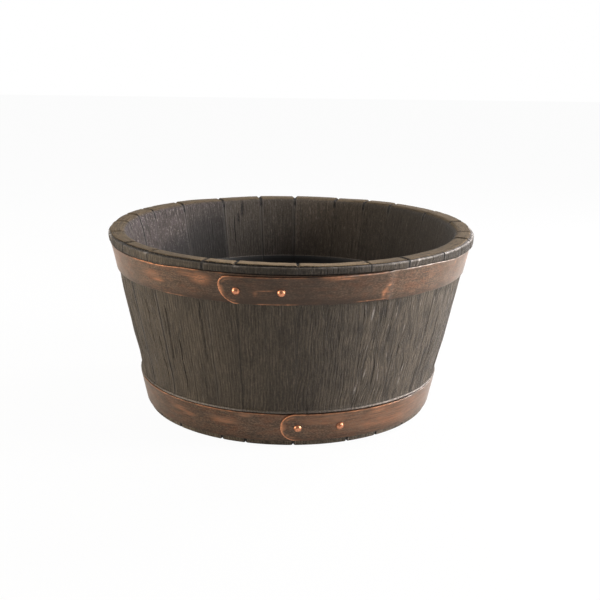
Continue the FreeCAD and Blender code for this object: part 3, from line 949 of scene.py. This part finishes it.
bottomHoop = {
    "node": "bottom_hoop", "name": "bottomStripHoop", "seed": 8.6,
    "low": 0.009, "width": 0.046, "joggle": 0.070, "crease": 0.0, "dip": 0,
    "lapWidth": 0.045, "lapLeft": 0.0105, "lapLength": 0.190,
    "lapDrop": -0.001, "lapTilt": -0.001, "lapSlant": 0.0,
    "frontShade": 0.05, "footShade": 0.32, "lapShade": 0.0, "sheen": (0.0, 0.12, 0.08),
    "worn": (
        (-70, -4, 1, 0.65), (1, 44, 1, 0.85), (100, 150, 1, 0.7), (-180, -150, 1, 0.7), (-120, -95, 1, 0.6),
    ),
    "glints": ((42, 95, 0.7),),
    "rubbed": (
        (-43, 0.039, 0.020, 0.005, 0.45), (-38, 0.034, 0.015, 0.004, 0.45), (-23, 0.037, 0.030, 0.007, 0.4),
        (-15, 0.050, 0.012, 0.004, 0.4), (33, 0.048, 0.026, 0.005, 0.4), (13, 0.046, 0.045, 0.010, 0.3),
        (40, 0.034, 0.120, 0.024, 0.25), (120, 0.035, 0.045, 0.007, 0.3), (-160, 0.030, 0.045, 0.008, 0.3),
    ),
}


def lapMiddle(hoop):
    return hoop["low"] + hoop["width"] - hoop["lapDrop"] - hoop["lapWidth"] / 2


def lapRadius(hoop):
    return wallRadius(lapMiddle(hoop)) + tub["hoopProud"]


# flat strip with a half-round lap end and rounded outer edges
def flatStrip(hoop, shape, length):
    half = hoop["lapWidth"] / 2
    bm = bmesh.new()
    bmesh.ops.create_grid(bm, x_segments=round(length / shape["along"]),
                          y_segments=round(hoop["width"] / shape["across"]), size=1)
    bmesh.ops.scale(bm, vec=(length / 2, half, 1), verts=bm.verts)
    bmesh.ops.translate(bm, vec=(length / 2, 0, 0), verts=bm.verts)
    for vert in bm.verts:
        if vert.co.x < half:
            u, v = 1 - vert.co.x / half, vert.co.y / half
            vert.co.x = half - half * u * math.sqrt(1 - v * v / 2)
            vert.co.y = half * v * math.sqrt(1 - u * u / 2)
    thick = bmesh.ops.extrude_face_region(bm, geom=bm.faces[:])
    raised = [part for part in thick["geom"] if isinstance(part, bmesh.types.BMVert)]
    bmesh.ops.translate(bm, vec=(0, 0, shape["thickness"]), verts=raised)
    bmesh.ops.recalc_face_normals(bm, faces=bm.faces)
    outline = [edge for edge in bm.edges if len(edge.link_faces) == 2 and edge.calc_face_angle() > 1.2
               and min(v.co.z for v in edge.verts) > shape["thickness"] / 2]
    rounded(bm, outline, shape["edgeRound"], "EDGES")
    return bm


# copper along worn edges and round the lap's end
def edgeMarkOf(hoop, shape, along, across, toEdge, degrees):
    half, s = hoop["lapWidth"] / 2, hoop["seed"]
    worn = shape["endWorn"] * ramp(half * 1.3, half * 0.9, along)
    for fromTurn, toTurn, side, amount in hoop["worn"]:
        if across * side > 0:
            here = window((fromTurn - 2, fromTurn + 1, toTurn - 1, toTurn + 2), degrees)
            worn = max(worn, amount * here * (0.6 + 0.8 * grainNoise(degrees * 1.7, s, 0.2)))
    place, width = shape["inlay"]
    inlay = ramp(half * 1.1, half * 0.8, along) * math.exp(-((toEdge - place) / width) ** 2)
    inlay *= 0.5 * (0.7 + 0.6 * grainNoise(across * 160, s, along * 160))
    return ramp(*shape["wornEdge"], toEdge) * worn, inlay


# painted highlight on the upper edge, and a soft painted sheen towards the sides
def paintedHighlightOf(hoop, shape, across, toEdge, degrees):
    half = hoop["lapWidth"] / 2
    left, high, low = hoop["sheen"]
    sheen = (high + (low - high) * ramp(half, -half, across)) * window(shape["sheenRight"], degrees)
    sheen = max(sheen, left * window(shape["sheenLeft"], degrees))
    glint = 0.0
    for fromTurn, toTurn, amount in hoop["glints"] if across > 0 else ():
        here = window((fromTurn - 6, fromTurn + 6, toTurn - 6, toTurn + 6), degrees)
        broken = 0.35 + 0.65 * ramp(-0.2, 0.3, grainNoise(degrees * 0.9, hoop["seed"], 4.2))
        glint = max(glint, amount * here * broken * ramp(*shape["glintEdge"], toEdge))
    return glint, sheen


def makeHoop(hoop, shape):
    radius, half, s = lapRadius(hoop), hoop["lapWidth"] / 2, hoop["seed"]
    length = 2 * math.pi * radius + hoop["lapLength"]
    wider = hoop["width"] / hoop["lapWidth"]
    lapEnd = -hoop["lapLeft"] / radius
    step = hoop["lapLength"] + shape["joggleGap"]
    lapRise = shape["thickness"] + shape["lapGap"]
    bm = flatStrip(hoop, shape, length)
    stripPlace = bm.verts.layers.float_vector.new("stripPlace")
    stripMarks = bm.verts.layers.float_color.new("stripMarks")
    for vert in bm.verts:
        along, across, lift = vert.co
        onLap = 1 - ramp(step, step + hoop["joggle"], along)
        onStrip = ramp(step - 0.004, step + 0.006, along)
        shown = 0.0 if along > length - hoop["lapLength"] + 0.01 else 1.0     # the inner end is under the lap
        z = lapMiddle(hoop) + across + hoop["lapTilt"] * along / step
        z += (hoop["low"] + hoop["width"] / 2 + across * wider - z) * onStrip
        slant = hoop["lapSlant"] * across * ramp(half * 2.2, half * 0.6, along)
        turn = lapEnd + (along - slant) / radius
        degrees = degreesOf(turn)
        wave = grainNoise(math.sin(turn) * 5, math.cos(turn) * 5, z * 30 + s)
        wave += 0.5 * grainNoise(math.sin(turn) * 16, math.cos(turn) * 16, z * 70 + s)
        out = shape["seat"] + lapRise * onLap + lift + max(shape["wave"] * wave, -0.0001)
        z -= hoop["dip"] * bandDip(turn) * onStrip * ramp(0, half, across)
        toEdge = half - (math.hypot(half - along, across) if along < half else abs(across))
        edge, inlay = edgeMarkOf(hoop, shape, along, across, toEdge, degrees)
        glint, sheen = paintedHighlightOf(hoop, shape, across, toEdge, degrees)
        crease = along - step - 0.001 - 0.35 * across
        rubbed = hoop["crease"] * math.exp(-(crease / 0.0012) ** 2) * ramp(0.008, 0.002, across)
        # copper worn patches, and a few broad patches painted lighter towards the sides
        for rubTurn, rubZ, long, tall, amount in hoop["rubbed"]:
            far = math.hypot(math.radians(degrees - rubTurn) * radius / long, (z - rubZ) / tall)
            rubbed = max(rubbed, shown * amount * ramp(1.25, 0.2, far))
        shade = hoop["footShade"] * ramp(-half * 0.4, -half, across)
        shade += hoop["frontShade"] * window(shape["frontDegrees"], degrees)
        shade += hoop["lapShade"] * window(shape["lapShade"], along)
        vert[stripPlace] = (along + s, across, lift)
        vert[stripMarks] = (max(edge * shown, inlay), rubbed, min(shade, shape["mostShade"]),
                            min(max(glint * shown, sheen), 1.0))
        vert.co = onTub(turn, wallRadius(z) + out, z)
    addPiece(bm, hoop["name"], hoopMetal, [hoop["node"]], 50)


for hoop in (topHoop, bottomHoop):
    makeHoop(hoop, stripShape)
print("hoops made")


# copper rivets with hammered domes
rivetLooks = {"copper": colour(210, 144, 110), "dull": colour(140, 88, 62), "bump": 0.0002}
rivetShape = {
    "head": 0.006, "height": 0.0045, "skirt": 0.0006, "fromEnd": 0.026, "pitch": 0.065, "dents": 0.0003,
    "rise": 12, "round": 40,     # mesh steps
}


def makeRivetMetal(name, looks):
    material, tree, shader = newMaterial(name)
    place = addNode(tree, "TexCoord").outputs["Object"]
    blotch = stretched(tree, place, (420, 420, 420), 3.0, 0.6)
    speck = stretched(tree, place, (1500, 1500, 1500), 2.0, 0.5)
    tone = mixColours(tree, spread(tree, blotch, 0.5, 0.72), looks["copper"], looks["dull"])
    tree.links.new(tone, shader.inputs["Base Color"])
    shader.inputs["Metallic"].default_value = 1.0
    tree.links.new(spread(tree, blotch, 0.35, 0.7, 0.3, 0.5), shader.inputs["Roughness"])
    addBump(tree, shader, speck, looks["bump"], 0.4)
    return material


rivetMetal = makeRivetMetal("rivetMetal", rivetLooks)


def makeRivets(hoop, name, node, shape):
    bm = bmesh.new()
    radius = lapRadius(hoop)
    middle = lapMiddle(hoop)
    face = (tub["hoopProud"] + stripShape["thickness"] + stripShape["lapGap"]) * math.cos(math.atan(taper))
    dome = (shape["head"] ** 2 + shape["height"] ** 2) / (2 * shape["height"])
    opening = math.asin(min(1.0, shape["head"] / dome))
    crownHeight = face + shape["height"]
    for count in range(2):
        single = bmesh.new()
        crown = single.verts.new((0, 0, crownHeight))
        bmesh.ops.spin(single, geom=[crown], cent=(0, 0, crownHeight - dome), axis=(0, 1, 0),
                       angle=opening, steps=shape["rise"])
        lowest = max(single.verts, key=lambda vert: vert.co.xy.length)
        skirt = bmesh.ops.extrude_vert_indiv(single, verts=[lowest])["verts"]
        bmesh.ops.translate(single, vec=(0, 0, -shape["skirt"]), verts=skirt)
        base = bmesh.ops.extrude_vert_indiv(single, verts=skirt)["verts"]
        base[0].co = (0, 0, base[0].co.z)
        bmesh.ops.spin(single, geom=single.verts[:] + single.edges[:], cent=(0, 0, 0), axis=(0, 0, 1),
                       angle=2 * math.pi, steps=shape["round"], use_merge=True)
        bmesh.ops.remove_doubles(single, verts=single.verts, dist=0.00002)
        for vert in single.verts:                 # hammer marks
            dent = grainNoise(vert.co.x * 300 + count * 7, vert.co.y * 300 + hoop["seed"], 0.4)
            vert.co += vert.co.normalized() * dent * shape["dents"] * ramp(face, face + 0.002, vert.co.z)
        turn = (shape["fromEnd"] + count * shape["pitch"] - hoop["lapLeft"]) / radius
        tilt = Matrix.Rotation(math.pi / 2 + math.atan(taper), 4, "X")
        seat = Matrix.Translation((0, -wallRadius(middle), middle)) @ tilt
        seat = Matrix.Translation((leanAt(middle), 0, 0)) @ Matrix.Rotation(turn, 4, "Z") @ seat
        bmesh.ops.transform(single, matrix=seat, verts=single.verts)
        mesh = bpy.data.meshes.new("rivet")
        single.to_mesh(mesh)
        single.free()
        bm.from_mesh(mesh)
        bpy.data.meshes.remove(mesh)
    addPiece(bm, name, rivetMetal, [node], 50)


makeRivets(topHoop, "topHoopDomes", "top_hoop_rivets", rivetShape)
makeRivets(bottomHoop, "bottomHoopDomes", "bottom_hoop_rivets", rivetShape)
print("rivets made")


# floor of the tub: boards from the frame, black coat above and bare wood below
headLooks = dict(
    staveLooks,
    body=colour(96, 82, 66),
    pale=colour(140, 122, 100),
    noises={
        "fibre": ((820, 820, 11), 4.0, 0.6),
        "streak": ((150, 150, 3.5), 3.0, 0.5, (7, 3, 1)),
        "pores": ((560, 560, 26), 2.0, 0.5, (2, 9, 4)),
    },
    poresShow=(0.58, 0.67),
    ringSpacing=0.0052,
    coatEdge=(0.012, 0.014),     # over the underside
    coatRough=0.4,
)


def makeHeadWood(name, looks, coated):
    material, tree, shader = newMaterial(name)
    place = addNode(tree, "TexCoord").outputs["Object"]
    lying = addNode(tree, "Mapping", {"Vector": place, "Rotation": (0, math.pi / 2, 0.02),
                                      "Location": (0.11, 0.03, 0)}).outputs[0]
    noises = allNoises(tree, lying, looks)
    fibre = noises["fibre"]
    pores = spread(tree, noises["pores"], *looks["poresShow"])
    flat = addNode(tree, "Mapping", {"Vector": lying, "Scale": (1, 1, 0.1)}).outputs[0]
    ringSettings = {"Vector": flat, "Scale": math.pi / (10 * looks["ringSpacing"]), "Distortion": 2.4,
                    "Detail": 2.0, "Detail Scale": 0.5}
    rings = addNode(tree, "TexWave", ringSettings, wave_type="RINGS", rings_direction="Z", wave_profile="SAW")
    late = spread(tree, rings.outputs[1], 0.5, 1.0)
    tone = woodTone(tree, looks, noises["streak"], fibre, late, pores)
    rough = spread(tree, fibre, 0.3, 0.7, 0.7, 0.5)
    if coated:
        height = addNode(tree, "SeparateXYZ", {0: place}).outputs[2]
        starts, full = looks["coatEdge"]
        mark = spread(tree, height, tub["headLow"] + starts, tub["headLow"] + full)
        tone = mixColours(tree, mark, tone, looks["coat"])
        rough = mixNumbers(tree, mark, rough, looks["coatRough"])
    tree.links.new(tone, shader.inputs["Base Color"])
    tree.links.new(rough, shader.inputs["Roughness"])
    addBump(tree, shader, minus(tree, fibre, times(tree, pores, 0.6)), looks["bump"], 0.6)
    return material


headWood = makeHeadWood("headWood", headLooks, True)
dowelWood = makeHeadWood("dowelWood", headLooks, False)
for node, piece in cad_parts.items():
    if node.startswith("head_"):
        piece.data.materials.clear()
        piece.data.materials.append(dowelWood if node == "head_dowels" else headWood)
print("head finished")


# white studio: pale floor, soft lights, the camera's own side darker
studio = {
    "floorSize": 14.0,
    "floorGap": 0.0004,
    "floorColour": colour(240, 240, 240),
    "floorRough": 0.9,
    "floorGlow": 0.96,
    "floorMirrored": 0.35,
    "ambient": 0.3,
    "darkSide": 0.14,
    "darkSpan": (-0.85, 0.15),
    "lamps": (
        # name, place, aim, size, power, tint
        ("keyRight", (2.0, -0.3, 0.8), (0, 0, 0.15), 1.0, 66, (1.0, 0.97, 0.95)),
        ("glintRight", (1.5, 1.1, 1.2), (0.1, 0, 0.28), 0.6, 24, (0.96, 0.93, 1.0)),
        ("topBack", (-0.6, 1.4, 1.7), (0, 0, 0.2), 1.6, 9, (1.0, 1.0, 1.0)),
        ("fillLeft", (-1.9, -0.3, 0.6), (0, 0, 0.15), 1.2, 28, (1.0, 0.88, 0.72)),
    ),
}


def seenWhite(tree):
    rays = addNode(tree, "LightPath").outputs
    mirrored = plus(tree, rays["Is Glossy Ray"], rays["Is Transmission Ray"], True)
    return rays["Is Camera Ray"], mirrored


def makeWorld(looks):
    world = bpy.data.worlds.new("whiteStudio")
    scene.world = world
    world.use_nodes = True
    tree = world.node_tree
    glow = tree.nodes["Background"]
    glow.inputs["Color"].default_value = (1, 1, 1, 1)
    seen, mirrored = seenWhite(tree)
    heading = addNode(tree, "SeparateXYZ", {0: addNode(tree, "TexCoord").outputs["Generated"]}).outputs[1]
    room = spread(tree, heading, *looks["darkSpan"], looks["darkSide"], 1.0)
    level = times(tree, room, spread(tree, mirrored, 0, 1, looks["ambient"], 1.0))
    tree.links.new(mixNumbers(tree, seen, level, 1.0), glow.inputs["Strength"])


def makeFloor(looks):
    bm = bmesh.new()
    bmesh.ops.create_grid(bm, x_segments=8, y_segments=8, size=looks["floorSize"] / 2)
    bmesh.ops.translate(bm, vec=(0, 0, -looks["floorGap"]), verts=bm.verts)
    mesh = bpy.data.meshes.new("paleFloor")
    bm.to_mesh(mesh)
    bm.free()
    floor = bpy.data.objects.new("paleFloor", mesh)
    scene.collection.objects.link(floor)
    material, tree, shader = newMaterial("paleFloor")
    shader.inputs["Base Color"].default_value = looks["floorColour"]
    shader.inputs["Roughness"].default_value = looks["floorRough"]
    glow = addNode(tree, "Emission", {"Color": (1, 1, 1, 1), "Strength": 1.0})
    seen, mirrored = seenWhite(tree)
    direct, mirror = times(tree, seen, looks["floorGlow"]), times(tree, mirrored, looks["floorMirrored"])
    share = plus(tree, direct, mirror, True)
    both = addNode(tree, "MixShader", {0: share, 1: shader.outputs[0], 2: glow.outputs[0]})
    tree.links.new(both.outputs[0], tree.nodes["Material Output"].inputs["Surface"])
    mesh.materials.append(material)


def makeLamps(looks):
    for name, place, aim, size, power, tint in looks["lamps"]:
        lamp = bpy.data.lights.new(name, "AREA")
        lamp.shape = "DISK"
        lamp.size = size
        lamp.energy = power
        lamp.color = tint
        light = bpy.data.objects.new(name, lamp)
        light.location = place
        light.rotation_euler = (Vector(aim) - Vector(place)).to_track_quat("-Z", "Y").to_euler()
        scene.collection.objects.link(light)


# camera where the photograph was taken
photoCamera = {
    "lens": 62.91, "distance": 1.7889, "aimHeight": 0.1478, "elevation": 15.576,
    "pitch": 0.461, "yaw": 0.559, "roll": 0.607, "shiftUp": 2 / 600,
}


def makeCamera(view):
    data = bpy.data.cameras.new("photoCamera")
    data.lens = view["lens"]
    data.shift_y = view["shiftUp"]
    tilt = math.radians(view["elevation"])
    back, up = view["distance"] * math.cos(tilt), view["distance"] * math.sin(tilt)
    place = Vector((0, -back, view["aimHeight"] + up))
    look = Matrix.Rotation(math.radians(90 - view["elevation"] + view["pitch"]), 4, "X")
    look = look @ Matrix.Rotation(math.radians(-view["yaw"]), 4, "Y")
    look = look @ Matrix.Rotation(math.radians(view["roll"]), 4, "Z")
    camera = bpy.data.objects.new("photoCamera", data)
    camera.matrix_world = Matrix.Translation(place) @ look
    scene.collection.objects.link(camera)
    scene.camera = camera


makeWorld(studio)
makeFloor(studio)
makeLamps(studio)
makeCamera(photoCamera)
print("studio and camera set")

bpy.context.view_layer.update()
